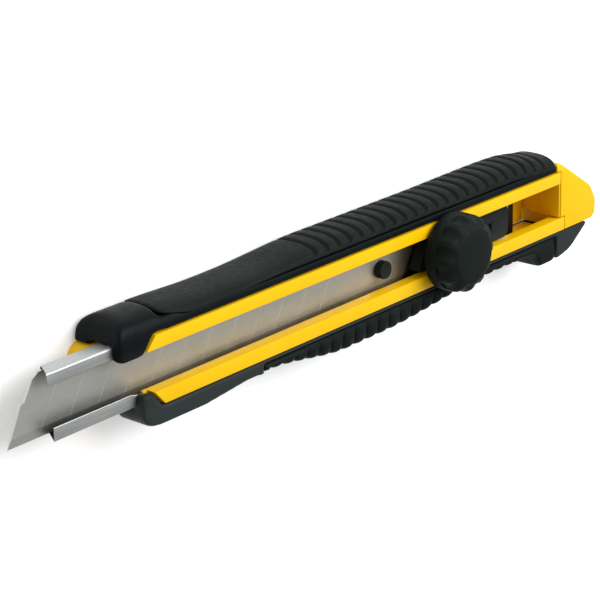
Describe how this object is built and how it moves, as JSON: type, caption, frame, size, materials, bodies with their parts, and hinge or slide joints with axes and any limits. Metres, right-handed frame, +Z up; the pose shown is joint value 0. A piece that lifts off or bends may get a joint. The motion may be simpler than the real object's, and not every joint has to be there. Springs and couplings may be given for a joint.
{
  "type": "snap-off utility knife",
  "caption": "Slim snap-off utility knife with a steel blade guide, ribbed rubber grips, a thumb-wheel blade lock and a pull-off end cap.",
  "frame": {"origin": "bottom centre of the whole knife's box, with the knife lying on its flat back face", "axes": "+X from the blade's tip to the tail, +Y from the cutting edge to the spine, +Z up out of the back face towards the thumb wheel"},
  "size_m": [0.1284, 0.019, 0.0145],
  "materials": {
    "yellow_plastic": "satin moulded plastic",
    "black_plastic": "smooth moulded plastic",
    "black_rubber": "soft matte rubber",
    "guide_steel": "folded sheet, lightly brushed",
    "blade_steel": "ground and oiled",
    "plated_steel": "zinc plated"
  },
  "bodies": {
    "handle": {"body_frame": "yellow_plastic", "upper_cover": "black_plastic", "lower_cover": "black_plastic", "upper_grip": "black_rubber", "lower_grip": "black_rubber", "blade_guide": "guide_steel"},
    "end_cap": {"end_cap": "yellow_plastic"},
    "slider": {"slider_block": "black_plastic", "blade_holder": "plated_steel", "blade_peg": "black_plastic", "blade": "blade_steel", "spring_washer": "plated_steel"},
    "wheel": {"thumb_wheel": "black_rubber", "clamp_screw": "plated_steel"},
    "clamp": {"clamp_plate": "plated_steel"}
  },
  "joints": [
    {"name": "blade_slide", "type": "slide", "parent": "handle", "child": "slider", "axis": [1, 0, 0], "range_m": [-0.058, 0.0055]},
    {"name": "wheel_turn", "type": "hinge", "parent": "slider", "child": "wheel", "pos_m": [0.02285, 0.0005, 0.0125], "axis": [0, 0, 1], "range_deg": [0, 90]},
    {"name": "clamp_lift", "type": "slide", "parent": "slider", "child": "clamp", "axis": [0, 0, -1], "range_m": [0, 0.000115]},
    {"name": "cap_pull", "type": "slide", "parent": "handle", "child": "end_cap", "axis": [1, 0, 0], "range_m": [0, 0.015]}
  ],
  "couplings": [
    {"joint": "clamp_lift", "follows": "wheel_turn", "m_per_rad": 0.00007162}
  ]
}
